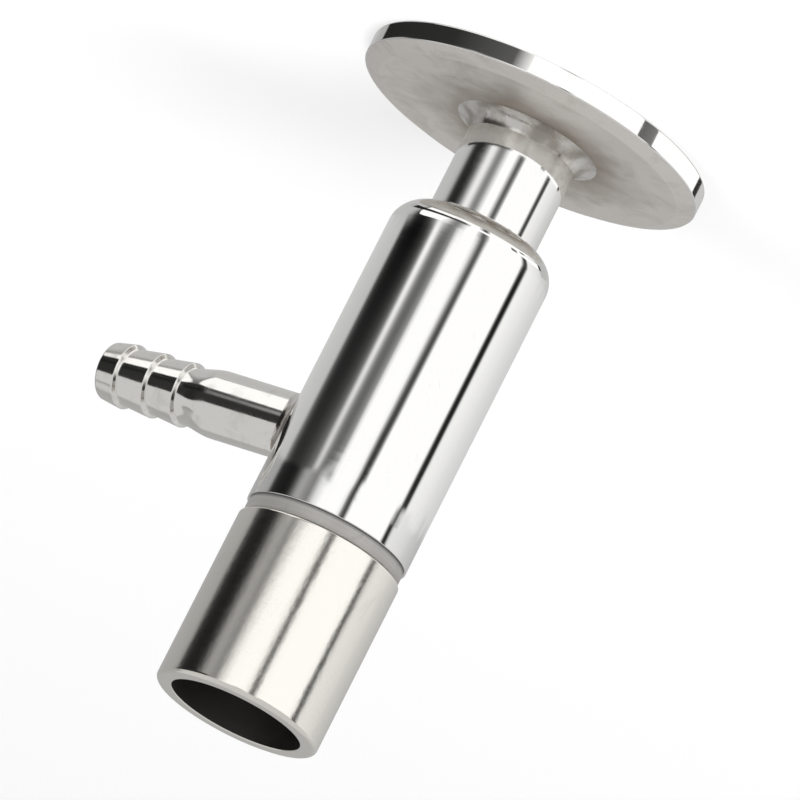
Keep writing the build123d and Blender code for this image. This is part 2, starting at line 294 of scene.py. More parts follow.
def steelMaterial(name, look):
    material, tree, shader, where = newMaterial(name, 1.0)
    shader.inputs["IOR"].default_value = steelMix["ior"]
    if "axisHeight" in look:  # brings a lying axis upright, so that the rings run round it
        where = put(tree, "ShaderNodeMapping", {
            "Vector": where, "Location": (-look["axisHeight"] * mm, 0.0, 0.0),
            "Rotation": (0.0, -math.pi / 2, 0.0)}).outputs[0]
    waves = effect(tree, polishWaves, where, Size=look["waves"][0])
    rings = effect(tree, turningMarks, where, Spacing=look["rings"][0])
    hairs = effect(tree, hairlines, where, Length=look["hairs"][0], Amount=look["hairs"][1])
    patches = effect(tree, handlingMarks, where, Size=look["patches"][0], Cover=look["patches"][1])
    soiled = times(tree, patches["Mask"], steelMix["soil"])
    dulled = calc(tree, "MAXIMUM", soiled, times(tree, hairs["Mask"], steelMix["scratch"]))
    colour = blend(tree, dulled, look["colour"], look["worn"])
    if "halo" in look:
        colour = addHalo(tree, where, colour, look["halo"])
    feed(tree, shader.inputs["Base Color"], colour)
    share = calc(tree, "ADD", dulled, times(tree, rings["Mask"], steelMix["ringDull"]))
    feed(tree, shader.inputs["Roughness"], spread(tree, share, 0.0, 1.0, *look["roughness"]))
    normal = bump(tree, waves["Height"], look["waves"][1] * micron)
    if "dents" in look:
        normal = addDents(tree, where, normal, look["dents"])
    scratched = times(tree, hairs["Mask"], steelMix["scratchDepth"])
    fine = calc(tree, "SUBTRACT", rings["Height"], scratched)
    feed(tree, shader.inputs["Normal"], bump(tree, fine, look["rings"][1] * micron, normal))
    return material


# Weld metal: mottled, with straw and brown heat tint where it fades into the plate
weldLook = {"colour": (0.74, 0.72, 0.69), "tint": (0.38, 0.335, 0.285),
            "dull": (0.36, 0.345, 0.325), "roughness": (0.14, 0.36), "mottle": 260.0,
            "stain": 230.0, "patches": (2.4, 0.5), "pits": 30.0, "heated": (0.45, 0.62, 0.0, 0.85),
            "clouded": (0.52, 0.72, 0.0, 0.6), "pitted": (0.4, 0.7)}


def weldMaterial(name, look):
    material, tree, shader, where = newMaterial(name, 1.0)
    mottle = noise(tree, where, look["mottle"], 3.0, 0.5, 0.3)
    stain = noise(tree, where, look["stain"], 3.0, 0.5, 0.2)
    patches = effect(tree, handlingMarks, where, Size=look["patches"][0], Cover=look["patches"][1])
    tinted = blend(tree, spread(tree, stain, *look["heated"]), look["colour"], look["tint"])
    dulled = blend(tree, spread(tree, mottle, *look["clouded"]), tinted, look["dull"])
    feed(tree, shader.inputs["Base Color"], dulled)
    rough = calc(tree, "MAXIMUM", patches["Mask"], spread(tree, mottle, *look["pitted"]))
    feed(tree, shader.inputs["Roughness"], spread(tree, rough, 0.0, 1.0, *look["roughness"]))
    feed(tree, shader.inputs["Normal"], bump(tree, mottle, look["pits"] * micron))
    return material


# Soft and sintered parts: a slip ring, seals and the moulded plug. The slip ring has painted shade,
# a dark band where it meets the barrel
softLooks = {
    "slipRing": {
        "colour": (0.47, 0.455, 0.43), "shade": (0.37, 0.36, 0.34), "roughness": (0.42, 0.6),
        "grain": 1.2, "spacing": 0.3, "metallic": 0.35,
        "joint": {"low": 67.12, "high": 67.5, "gapShade": (0.16, 0.16, 0.16)},
    },
    "silicone": {
        "colour": (0.82, 0.81, 0.77), "shade": (0.72, 0.70, 0.64), "roughness": (0.38, 0.55),
        "grain": 1.0, "spacing": 0.6, "metallic": 0.0,
    },
    "sealRubber": {
        "colour": (0.022, 0.022, 0.024), "shade": (0.045, 0.045, 0.047),
        "roughness": (0.45, 0.7), "grain": 2.0, "spacing": 0.5, "metallic": 0.0,
    },
}
softMix = {"patchSize": 4.0, "patchCover": 0.45, "ringShade": 0.4, "gapShadeCover": 0.9}


def softMaterial(name, look):
    material, tree, shader, where = newMaterial(name, look["metallic"])
    patches = effect(tree, handlingMarks, where, Size=softMix["patchSize"],
                     Cover=softMix["patchCover"])
    rings = effect(tree, turningMarks, where, Spacing=look["spacing"])
    share = calc(tree, "MAXIMUM", patches["Mask"], times(tree, rings["Mask"], softMix["ringShade"]))
    colour = blend(tree, share, look["colour"], look["shade"])
    # painted shade: the slip ring is darkened at its barrel side, fading out over a thin band above
    # the joint
    if "joint" in look:
        joint = look["joint"]
        gapShadeShare = spread(tree, parts(tree, where)[2], joint["low"] * mm, joint["high"] * mm,
                       softMix["gapShadeCover"], 0.0)
        colour = blend(tree, gapShadeShare, colour, joint["gapShade"])
    feed(tree, shader.inputs["Base Color"], colour)
    feed(tree, shader.inputs["Roughness"], spread(tree, share, 0.0, 1.0, *look["roughness"]))
    height = calc(tree, "ADD", rings["Height"], patches["Grain"])
    feed(tree, shader.inputs["Normal"], bump(tree, height, look["grain"] * micron))
    return material


materials = {name: steelMaterial(name, look) for name, look in steelLooks.items()}
materials["weldMetal"] = weldMaterial("weldMetal", weldLook)
materials.update({name: softMaterial(name, look) for name, look in softLooks.items()})
print("materials made")


# Outlines of turned pieces are lists of corners, going round
def corner(radius, height, rounding=0.0, share=0.0):
    return {"at": Vector((radius, height)), "rounding": rounding, "share": share}


# Rounds each corner with an arc, with a holding point just outside each end of it
arcLook = {"fewest": 5, "perMillimetre": 4, "hold": 0.05}


def roundedOutline(corners):
    points = []
    for i, here in enumerate(corners):
        at, rounding = here["at"], here["rounding"]
        if rounding <= 0:
            points.append((at, here["share"]))
            continue
        back = corners[i - 1]["at"] - at
        ahead = corners[(i + 1) % len(corners)]["at"] - at
        half = back.angle(ahead) / 2
        reach = rounding / math.tan(half)
        start = at + back.normalized() * reach
        end = at + ahead.normalized() * reach
        middle = (back.normalized() + ahead.normalized()).normalized()
        centre = at + middle * rounding / math.sin(half)
        first, last = start - centre, end - centre
        sweep = math.atan2(first.x * last.y - first.y * last.x, first.dot(last))
        steps = int(arcLook["fewest"] + arcLook["perMillimetre"] * rounding)
        holdBack, holdAhead = [min(arcLook["hold"], (side.length - reach) / 3)
                               for side in (back, ahead)]
        arc = [start + back.normalized() * holdBack]
        for k in range(steps + 1):
            c, s = math.cos(sweep * k / steps), math.sin(sweep * k / steps)
            arc.append(centre + Vector((first.x * c - first.y * s, first.x * s + first.y * c)))
        arc.append(end + ahead.normalized() * holdAhead)
        points += [(point, here["share"]) for point in arc]
    return points


def outlineMesh(name, points):
    mesh = bpy.data.meshes.new(name)
    closed = points + points[:1]
    edges = [(i, i + 1) for i in range(len(points))]
    mesh.from_pydata([(point.x * mm, 0.0, point.y * mm) for point, share in closed], edges, [])
    shares = mesh.attributes.new("threadShare", "FLOAT", "POINT")
    shares.data.foreach_set("value", [share for point, share in closed])
    return mesh


def readAttribute(tree, name):
    node = put(tree, "GeometryNodeInputNamedAttribute", {"Name": name}, data_type="FLOAT")
    return node.outputs[0]


# Smooth shading, plain geometry and the material: how every Geometry Nodes tree here ends
def endTree(tree, out, geometry, material):
    smooth = put(tree, "GeometryNodeSetShadeSmooth", {"Geometry": geometry}).outputs[0]
    real = put(tree, "GeometryNodeRealizeInstances", {0: smooth}).outputs[0]
    values = {"Geometry": real, "Material": material}
    feed(tree, out[0], put(tree, "GeometryNodeSetMaterial", values).outputs[0])


# Geometry Nodes tree that turns an outline round the Z axis and cuts a thread where it is asked
threadFlank = (0.12, 0.88)  # shares of the pitch between which a thread's flank slopes
weldedApart = 0.000001  # points closer than this, in metres, are one


def makeTurnedTree():
    tree, given, out = newTree("turnedPiece", "GeometryNodeTree", [
        ("Outline", "NodeSocketGeometry", None),
        ("Steps", "NodeSocketInt", 192),
        ("Thread Depth", "NodeSocketFloat", 0.0),
        ("Thread Lead", "NodeSocketFloat", 1.0),
        ("Thread Starts", "NodeSocketInt", 1),
        ("Material", "NodeSocketMaterial", None),
    ], [("Geometry", "NodeSocketGeometry")])
    outline = given["Outline"]
    size = put(tree, "GeometryNodeAttributeDomainSize", {0: outline})
    rows = size.outputs["Point Count"]
    columns = calc(tree, "ADD", given["Steps"], 1.0)
    grid = put(tree, "GeometryNodeMeshGrid", {"Size X": 1.0, "Size Y": 1.0, "Vertices X": columns,
                                              "Vertices Y": rows}).outputs[0]
    place = parts(tree, put(tree, "GeometryNodeInputPosition").outputs[0])
    angle = times(tree, calc(tree, "ADD", place[0], 0.5), 2 * math.pi)
    lastRow = calc(tree, "SUBTRACT", rows, 1.0)
    row = calc(tree, "ROUND", times(tree, calc(tree, "ADD", place[1], 0.5), lastRow))

    def atRow(kind, field):
        values = {"Geometry": outline, "Index": row}
        sample = put(tree, "GeometryNodeSampleIndex", values, data_type=kind)
        feed(tree, sample.inputs["Value"], field)
        return sample.outputs[0]

    point = atRow("FLOAT_VECTOR", put(tree, "GeometryNodeInputPosition").outputs[0])
    share = atRow("FLOAT", readAttribute(tree, "threadShare"))
    profile = parts(tree, point)
    turns = calc(tree, "SUBTRACT", calc(tree, "DIVIDE", profile[2], given["Thread Lead"]),
                 calc(tree, "DIVIDE", angle, 2 * math.pi))
    phase = calc(tree, "FRACT", times(tree, turns, given["Thread Starts"]))
    ridge = times(tree, calc(tree, "ABSOLUTE", calc(tree, "SUBTRACT", phase, 0.5)), 2.0)
    valley = spread(tree, ridge, *threadFlank, 1.0, 0.0)
    cut = times(tree, share, given["Thread Depth"], valley)
    radius = calc(tree, "SUBTRACT", profile[0], cut)
    where = join(tree, times(tree, radius, calc(tree, "COSINE", angle)),
                 times(tree, radius, calc(tree, "SINE", angle)), profile[2])
    turned = put(tree, "GeometryNodeSetPosition", {"Geometry": grid, "Position": where}).outputs[0]
    merged = put(tree, "GeometryNodeMergeByDistance", {"Geometry": turned, "Distance": weldedApart})
    endTree(tree, out, merged.outputs[0], given["Material"])
    return tree


# Geometry Nodes tree that lays overlapping ripples on a weld, from its around and across
# attributes
rippleWobble = {"scale": 260.0, "seedStep": 3.7}


def makeWeldTree():
    tree, given, out = newTree("weldRipples", "GeometryNodeTree", [
        ("Bead", "NodeSocketGeometry", None),
        ("Ripples", "NodeSocketInt", 60),
        ("Height", "NodeSocketFloat", 0.00005),
        ("Lag", "NodeSocketFloat", 1.0),
        ("Unevenness", "NodeSocketFloat", 0.5),
        ("Seed", "NodeSocketInt", 1),
        ("Material", "NodeSocketMaterial", None),
    ], [("Geometry", "NodeSocketGeometry")])
    around, across = readAttribute(tree, "around"), readAttribute(tree, "across")
    middle = times(tree, across, calc(tree, "SUBTRACT", 1.0, across), 4.0)
    lag = times(tree, middle, given["Lag"])
    seed = times(tree, given["Seed"], rippleWobble["seedStep"])
    wobble = put(tree, "ShaderNodeTexNoise", {"Scale": rippleWobble["scale"], "W": seed},
                 noise_dimensions="4D")
    shift = times(tree, wobble.outputs[0], given["Unevenness"])
    steps = calc(tree, "ADD", times(tree, around, given["Ripples"]), calc(tree, "ADD", lag, shift))
    saw = calc(tree, "FRACT", steps)
    arch = times(tree, saw, calc(tree, "SUBTRACT", 1.0, saw), 4.0)
    crest = calc(tree, "POWER", calc(tree, "MAXIMUM", arch, 0.0), 0.5)
    height = times(tree, crest, given["Height"], middle)
    lift = vectorCalc(tree, "SCALE", put(tree, "GeometryNodeInputNormal").outputs[0], height)
    raised = put(tree, "GeometryNodeSetPosition", {"Geometry": given["Bead"], "Offset": lift})
    endTree(tree, out, raised.outputs[0], given["Material"])
    return tree


turnedTree = makeTurnedTree()
weldTree = makeWeldTree()


def addObject(name, data):
    thing = bpy.data.objects.new(name, data)
    scene.collection.objects.link(thing)
    return thing


def evaluatedMesh(thing, **settings):
    shown = bpy.context.evaluated_depsgraph_get()
    return bpy.data.meshes.new_from_object(thing.evaluated_get(shown), depsgraph=shown, **settings)


# Runs a tree on a mesh and gives the result back as a plain mesh
def grow(name, mesh, tree, inputs):
    helper = addObject(name + "Helper", mesh)
    modifier = helper.modifiers.new("grow", "NODES")
    modifier.node_group = tree
    for item in tree.interface.items_tree:
        if item.item_type == "SOCKET" and item.in_out == "INPUT" and item.name in inputs:
            modifier[item.identifier] = inputs[item.name]
    made = evaluatedMesh(helper, preserve_all_data_layers=True)
    helper.modifiers.remove(modifier)
    bpy.data.objects.remove(helper)
    made.name = name
    return made


# Turns a mesh right side out, splits its shading at sharp edges and hangs it on its body
def dress(name, mesh, body, replaced, sharp=32.0, recalc=True):
    if recalc:
        work = bmesh.new()
        work.from_mesh(mesh)
        bmesh.ops.recalc_face_normals(work, faces=work.faces)
        work.to_mesh(mesh)
        work.free()
    mesh.polygons.foreach_set("use_smooth", [True] * len(mesh.polygons))
    mesh.set_sharp_from_angle(angle=math.radians(sharp))
    mesh.update()
    piece = addObject(name, mesh)
    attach(piece, body)
    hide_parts(replaced)


# Gives a second look to the chosen faces of a piece
def addLook(mesh, name, chosen):
    mesh.materials.append(materials[name])
    for face in mesh.polygons:
        if chosen(face.center):
            face.material_index = len(mesh.materials) - 1


def turnMesh(name, corners, material, steps=192, thread=None):
    inputs = {"Steps": steps, "Material": materials[material]}
    if thread:
        inputs.update({"Thread Depth": thread["depth"] * mm, "Thread Lead": thread["lead"] * mm,
                       "Thread Starts": thread["starts"]})
    return grow(name, outlineMesh(name + "Outline", roundedOutline(corners)), turnedTree, inputs)


# Ferrule: sealing face with its gasket groove, rim, narrow clamp bevel and flat back
ferruleSize = {"radius": 25.25, "rim": 2.85, "bevel": 2.6, "hub": 3.7963, "break": 0.22,
               "grooveCircle": 21.75, "grooveRadius": 1.7, "grooveDepth": 1.3, "grooveSteps": 16,
               "neck": 8.0, "inlet": 4.2, "inletBreak": 0.1, "land": 0.5, "seatTop": 3.0,
               "seatRadius": 5.7, "bevelBreak": 0.3, "backStart": 0.12, "steps": 288}


def makeFerrule(size):
    grooveRadius = size["grooveRadius"]
    drop = grooveRadius - size["grooveDepth"]
    reach = math.sqrt(grooveRadius ** 2 - drop ** 2)
    start = math.atan2(drop, -reach)
    end = math.atan2(drop, reach)
    groove = []
    for i in range(size["grooveSteps"] + 1):
        angle = start + (end - start) * i / size["grooveSteps"]
        groove.append(corner(size["grooveCircle"] + grooveRadius * math.cos(angle),
                             grooveRadius * math.sin(angle) - drop))
    corners = [corner(size["inlet"], 0, size["inletBreak"])] + groove + [
        corner(size["radius"], 0, size["break"]),
        corner(size["radius"], size["rim"], size["break"]),
        corner(size["radius"] - size["bevel"], size["hub"], size["bevelBreak"]),
        corner(size["neck"], size["hub"]),
        corner(size["neck"], size["seatTop"]),
        corner(size["seatRadius"], size["seatTop"]),
        corner(size["inlet"], size["land"]),
    ]
    mesh = turnMesh("ferruleTurned", corners, "ferruleEdge", size["steps"])
    backStart = (size["rim"] + size["backStart"]) * mm
    addLook(mesh, "ferruleBack", lambda middle: middle.z > backStart)
    dress("ferruleTurned", mesh, "valve_body", "ferrule")


makeFerrule(ferruleSize)

# Neck tube between ferrule and barrel
neckSize = {"radius": 8.0, "bore": 6.5, "low": 3.0, "high": 23.1, "clear": 0.005}


def makeNeck(size):
    outer = size["radius"] - size["clear"]
    corners = [
        corner(size["bore"], size["low"]),
        corner(outer, size["low"]),
        corner(outer, size["high"]),
        corner(size["bore"], size["high"]),
    ]
    mesh = turnMesh("neckTube", corners, "polishedSteel")
    dress("neckTube", mesh, "valve_body", "neck_tube")


makeNeck(neckSize)

# Barrel: round shoulder at the neck, crisp edge at the knob, stepped bore inside
barrelSize = {"radius": 12.0, "low": 18.6, "high": 67.0, "shoulder": 4.2, "edge": 0.14,
              "neckBreak": 0.12, "boreBreak": 0.1, "socket": 23.1, "cavityLow": 24.0, "cavity": 8.0,
              "seat": 58.6, "bonnet": 9.0, "outletHeight": 53.6, "outletRadius": 4.3, "steps": 256}
outletDrill = {"middle": 9.5, "length": 10.0, "segments": 96}


def makeBarrel(size, drillSize):
    corners = [
        corner(neckSize["radius"], size["low"], size["neckBreak"]),
        corner(size["radius"], size["low"], size["shoulder"]),
        corner(size["radius"], size["high"], size["edge"]),
        corner(size["bonnet"], size["high"], size["boreBreak"]),
        corner(size["bonnet"], size["seat"]),
        corner(size["cavity"], size["seat"], size["boreBreak"]),
        corner(size["cavity"], size["cavityLow"]),
        corner(neckSize["bore"], size["socket"]),
        corner(neckSize["radius"], size["socket"]),
    ]
    mesh = turnMesh("barrelTurned", corners, "barrelSteel", size["steps"])
    blank = addObject("barrelBlank", mesh)
    drillMesh = bpy.data.meshes.new("outletDrill")
    work = bmesh.new()
    bmesh.ops.create_cone(work, cap_ends=True, segments=drillSize["segments"],
                          radius1=size["outletRadius"] * mm, radius2=size["outletRadius"] * mm,
                          depth=drillSize["length"] * mm)
    work.to_mesh(drillMesh)
    work.free()
    place = Matrix.Translation((drillSize["middle"] * mm, 0, size["outletHeight"] * mm))
    drillMesh.transform(place @ Matrix.Rotation(math.pi / 2, 4, "Y"))
    drill = addObject("outletDrill", drillMesh)
    bore = blank.modifiers.new("bore", "BOOLEAN")
    bore.object, bore.operation, bore.solver = drill, "DIFFERENCE", "EXACT"
    bored = evaluatedMesh(blank)
    for thing in (blank, drill):
        bpy.data.objects.remove(thing)
    dress("barrelTurned", bored, "valve_body", "barrel", recalc=False)


makeBarrel(barrelSize, outletDrill)
print("ferrule, neck and barrel made")

# Hose barb, turned upright and then laid along X. The tube swells out behind the last ridge in
# a soft S
barbSize = {"tip": 43.4, "bore": 3.2, "spigot": 4.26, "tube": 4.8, "crest": 4.62, "root": 4.08,
            "ridges": 3, "first": 3.3, "pitch": 4.95, "step": 0.35, "swell": 5.0, "swellSteps": 12,
            "boreBreak": 0.3, "tipBreak": 0.32, "crestBreak": 0.16, "rootBreak": 0.12,
            "inner": 8.6, "collar": 11.2, "height": 53.6, "steps": 160, "sharp": 40.0}


def makeBarb(size):
    corners = [corner(size["bore"], size["tip"], size["boreBreak"]),
               corner(size["root"], size["tip"], size["tipBreak"])]
    for i in range(size["ridges"]):
        back = size["tip"] - size["first"] - i * size["pitch"]
        corners.append(corner(size["crest"], back, size["crestBreak"]))
        corners.append(corner(size["root"], back - size["step"], size["rootBreak"]))
    swellStart = back - size["step"]
    for i in range(1, size["swellSteps"] + 1):
        share = i / size["swellSteps"]
        ease = share * share * (3 - 2 * share)
        corners.append(corner(size["root"] + (size["tube"] - size["root"]) * ease,
                              swellStart - size["swell"] * share))
    corners += [
        corner(size["tube"], size["collar"]),
        corner(size["spigot"], size["collar"]),
        corner(size["spigot"], size["inner"]),
        corner(size["bore"], size["inner"]),
    ]
    mesh = turnMesh("hoseBarbTurned", corners, "barbSteel", size["steps"])
    place = Matrix.Translation((0, 0, size["height"] * mm))
    mesh.transform(place @ Matrix.Rotation(math.pi / 2, 4, "Y"))
    dress("hoseBarbTurned", mesh, "valve_body", "hose_barb", size["sharp"])


makeBarb(barbSize)


# Weld beads: a strip from foot to top round a path, closed behind by a buried corner
beadRows = 14


def beadMesh(name, section, steps):
    mesh = bpy.data.meshes.new(name)
    work = bmesh.new()
    aroundLayer = work.verts.layers.float.new("around")
    acrossLayer = work.verts.layers.float.new("across")
    rings = []
    for i in range(steps):
        around = i / steps
        foot, root, top, buried = section(around * 2 * math.pi)
        spots = []
        for k in range(beadRows + 1):
            t = k / beadRows
            spots.append((foot * (1 - t) ** 2 + root * (2 * t * (1 - t)) + top * t ** 2, t))
        spots.append((buried, 0.0))
        ring = []
        for point, across in spots:
            vertex = work.verts.new(point * mm)
            vertex[aroundLayer], vertex[acrossLayer] = around, across
            ring.append(vertex)
        rings.append(ring)
    for i, ring in enumerate(rings):
        following = rings[(i + 1) % steps]
        for k in range(len(ring)):
            j = (k + 1) % len(ring)
            work.faces.new((ring[k], ring[j], following[j], following[k]))
    bmesh.ops.recalc_face_normals(work, faces=work.faces)
    work.to_mesh(mesh)
    work.free()
    return mesh


# Root is how far the bead's middle is held off the corner; buried is how deep its back lies
ferruleWeldSize = {"foot": 10.6, "top": 2.0, "root": (0.35, 0.3), "sink": 0.01, "buried": 0.3,
                   "steps": 540, "ripples": 40, "height": 0.022, "lag": 0.8, "unevenness": 1.6}
barbWeldSize = {"leg": 1.5, "root": (0.1, 0.1), "sink": 0.01, "buried": 0.3,
                "steps": 360, "ripples": 24, "height": 0.022, "lag": 0.7, "unevenness": 1.2}
weldSeed, weldSharp = 4, 60.0


def ferruleWeldSection(angle):
    size, neck = ferruleWeldSize, neckSize["radius"]
    out = Vector((math.cos(angle), math.sin(angle), 0))

    def spot(radius, lift):
        return out * radius + Vector((0, 0, ferruleSize["hub"])) + Vector((0, 0, lift))

    return (spot(size["foot"], -size["sink"]), spot(neck + size["root"][0], size["root"][1]),
            spot(neck, size["top"]), spot(neck - size["buried"], -size["buried"]))


def barbWeldSection(angle):
    size, tube = barbWeldSize, barbSize["tube"]
    side = Vector((0, math.cos(angle), math.sin(angle)))
    axis = Vector((0, 0, barbSize["height"]))

    def spot(radius, lift):
        y = radius * side.y
        out = math.sqrt(barrelSize["radius"] ** 2 - y * y) + lift
        return axis + side * radius + Vector((out, 0, 0))

    return (spot(tube + size["leg"], -size["sink"]), spot(tube + size["root"][0], size["root"][1]),
            spot(tube - size["sink"], size["leg"]), spot(tube - size["buried"], -size["buried"]))


def makeWeld(name, section, size, replaced):
    bead = grow(name, beadMesh(name + "Strip", section, size["steps"]), weldTree, {
        "Ripples": size["ripples"], "Height": size["height"] * mm, "Lag": size["lag"],
        "Unevenness": size["unevenness"], "Seed": weldSeed, "Material": materials["weldMetal"]})
    dress(name, bead, "valve_body", replaced, weldSharp)


makeWeld("ferruleWeldBead", ferruleWeldSection, ferruleWeldSize, "ferrule_weld")
makeWeld("barbWeldBead", barbWeldSection, barbWeldSize, "barb_weld")
print("barb and welds made")

# Slip washer between barrel and knob
slipSize = {"radius": 11.7, "bore": 7.97, "low": 67.0, "high": 69.2, "break": 0.08,
            "topBreak": 0.22}


def makeSlipWasher(size):
    corners = [
        corner(size["bore"], size["low"], size["break"]),
        corner(size["radius"], size["low"], size["break"]),
        corner(size["radius"], size["high"], size["topBreak"]),
        corner(size["bore"], size["high"], size["break"]),
    ]
    mesh = turnMesh("slipWasherTurned", corners, "slipRing")
    dress("slipWasherTurned", mesh, "valve_body", "slip_washer")


makeSlipWasher(slipSize)

# Bonnet: collar in the barrel and the spigot with its two-start thread, seen when the knob is up
bonnetSize = {"collar": 9.0, "clear": 0.01, "seat": 58.6, "top": 78.2, "topBreak": 0.5,
              "spigot": 7.92, "bore": 5.6, "stop": 73.7, "stopBore": 4.3, "bush": 5.4,
              "bushLow": 74.5, "shoulder": 67.0, "groove": 61.0, "grooveHalf": 1.15,
              "grooveFloor": 7.2, "steps": 160}
bonnetThread = {"depth": 0.72, "lead": 2.5, "starts": 2, "low": 69.35, "high": 77.5,
                "runout": 0.7, "rows": 16}


# Outline rows up a threaded stretch; the thread fades in and out over its run-out
def threadRows(radius, thread):
    low, high, pitch = thread["low"], thread["high"], thread["lead"] / thread["starts"]
    count = int((high - low) / (pitch / thread["rows"]))
    rows = []
    for i in range(count + 1):
        height = low + (high - low) * i / count
        share = min(1.0, (height - low) / thread["runout"], (high - height) / thread["runout"])
        rows.append(corner(radius, height, 0.0, max(0.0, share)))
    return rows


def makeBonnet(size, thread):
    collar = size["collar"] - size["clear"]
    grooveLow = size["groove"] - size["grooveHalf"]
    grooveHigh = size["groove"] + size["grooveHalf"]
    corners = [
        corner(size["bore"], size["seat"]),
        corner(collar, size["seat"]),
        corner(collar, grooveLow),
        corner(size["grooveFloor"], grooveLow),
        corner(size["grooveFloor"], grooveHigh),
        corner(collar, grooveHigh),
        corner(collar, size["shoulder"]),
        corner(size["spigot"], size["shoulder"]),
    ] + threadRows(size["spigot"], thread) + [
        corner(size["spigot"], size["top"] - size["topBreak"]),
        corner(size["spigot"] - size["topBreak"], size["top"]),
        corner(size["bush"], size["top"]),
        corner(size["bush"], size["bushLow"]),
        corner(size["stopBore"], size["bushLow"]),
        corner(size["stopBore"], size["stop"]),
        corner(size["bore"], size["stop"]),
    ]
    mesh = turnMesh("bonnetTurned", corners, "machinedSteel", size["steps"], thread)
    dress("bonnetTurned", mesh, "valve_body", "bonnet")


makeBonnet(bonnetSize, bonnetThread)

# Knob sleeve: plain tube, rounded at its open end
sleeveSize = {"radius": 12.1, "bore": 9.68, "low": 69.3, "high": 95.2, "boreBreak": 0.08,
              "lowRound": 0.25, "endRound": 0.7, "mouthRound": 0.2, "hollowEdge": 0.02,
              "steps": 256}


def makeSleeve(size):
    corners = [
        corner(size["bore"], size["low"], size["boreBreak"]),
        corner(size["radius"], size["low"], size["lowRound"]),
        corner(size["radius"], size["high"], size["endRound"]),
        corner(size["bore"], size["high"], size["mouthRound"]),
    ]
    mesh = turnMesh("knobSleeveTurned", corners, "satinSteel", size["steps"])
    hollow = (size["bore"] + size["hollowEdge"]) * mm
    # painted shade: the bore takes the near-black hollow look
    addLook(mesh, "paintedShadeHollow", lambda middle: math.hypot(middle.x, middle.y) < hollow)
    dress("knobSleeveTurned", mesh, "knob", "knob_sleeve")


makeSleeve(sleeveSize)
print("washer, bonnet and knob made")

# The other CAD nodes keep their meshes and get their finish
nodeLooks = {
    "bonnet_o_ring": "sealRubber", "lower_stem_o_ring": "sealRubber",
    "upper_stem_o_ring": "sealRubber", "guide_bush": "slipRing", "seat_plug": "silicone",
    # knob_core takes the near-black painted shade of the knob's hollow
    "plug_core": "machinedSteel", "stem": "machinedSteel", "knob_core": "paintedShadeHollow",
    "flat_washer": "machinedSteel", "spring_washer": "machinedSteel",
    "stem_nut": "machinedSteel",
}
for nodeName, look in nodeLooks.items():
    for materialSlot in nodes[nodeName].material_slots:
        materialSlot.material = materials[look]

# Camera: long lens, from the knob's side, rolled so that the valve hangs by its ferrule
cameraPlace = {"at": (-913.09, -1458.17, 530.94), "towards": (-0.74, -0.136, 45.203),
               "roll": 153.095, "lens": 589.03, "sensor": 36.0, "clip": (50.0, 30000.0)}


def makeCamera(place):
    camera = addObject("camera", bpy.data.cameras.new("camera"))
    camera.data.lens = place["lens"]
    camera.data.sensor_width = place["sensor"]
    camera.data.clip_start, camera.data.clip_end = [end * mm for end in place["clip"]]
    eye, target = Vector(place["at"]) * mm, Vector(place["towards"]) * mm
    aim = (target - eye).to_track_quat("-Z", "Y")
    camera.rotation_mode = "QUATERNION"
    camera.rotation_quaternion = aim @ Quaternion((0, 0, 1), -math.radians(place["roll"]))
    camera.location = eye
    scene.camera = camera
    return math.degrees(math.atan2(eye.y, eye.x))


viewSide = makeCamera(cameraPlace)

# Studio: pale floor, soft lamps, and cards that only reflections see. Each shaded card is a
# list of uprights: turn from the camera's side in degrees (clockwise seen from above), the
# shades that the neck, the barrel's shoulder end, the barrel's knob end and the knob mirror,
# then the foot and top of the card. Between the turns of upperBlack the card is black above
# the knob's part, and the hose barb mirrors that
cardRing = 450.0
cardHeights = (-124, -109, -106, -61, -58.5, -12, 22)
lowestFoot = -125
upperBlack = {"turns": (-84, -55), "shade": 0.03}
leftCard = [
    (-180, 0.55, 0.66, 0.64, 0.45, -180, 420), (-140, 0.56, 0.63, 0.62, 0.42, -180, 420),
    (-122, 0.56, 0.60, 0.60, 0.41, -180, 420), (-113, 0.53, 0.58, 0.58, 0.38, -180, 420),
    (-110, 0.50, 0.42, 0.52, 0.28, -900, 420), (-106, 0.44, 0.06, 0.28, 0.08, -850, 200),
    (-102, 0.30, 0.02, 0.13, 0.03, -560, 200), (-97, 0.10, 0.010, 0.055, 0.02, -230, 200),
    (-92, 0.035, 0.006, 0.035, 0.015, -145, 200), (-84, 0.02, 0.004, 0.035, 0.012, -132, 200),
    (-78, 0.03, 0.006, 0.045, 0.02, -130, 200), (-74, 0.06, 0.014, 0.06, 0.05, -130, 200),
    (-70, 0.12, 0.024, 0.075, 0.13, -130, 200), (-66, 0.26, 0.060, 0.11, 0.27, -130, 200),
    (-62.5, 0.46, 0.15, 0.15, 0.37, -132, 200), (-60, 0.62, 0.38, 0.20, 0.39, -128, 200),
    (-57, 0.82, 0.98, 0.42, 0.38, -126, 200), (-54.5, 0.92, 1.10, 0.62, 0.33, -126, 200),
    (-52, 0.96, 0.85, 0.66, 0.30, -200, 200), (-49.5, 0.92, 0.50, 0.42, 0.26, -300, 200),
    (-46, 0.75, 0.23, 0.21, 0.25, -420, 200), (-42, 0.45, 0.15, 0.15, 0.46, -420, 200),
    (-38, 0.29, 0.16, 0.16, 0.78, -420, 200), (-34, 0.25, 0.24, 0.24, 0.95, -420, 200),
    (-31, 0.32, 0.35, 0.34, 1.05, -420, 200), (-28, 0.45, 0.80, 0.82, 1.15, -420, 200),
    (-24, 0.74, 1.15, 1.15, 1.15, -420, 200), (-19, 1.05, 1.15, 1.15, 1.15, -420, 200),
]
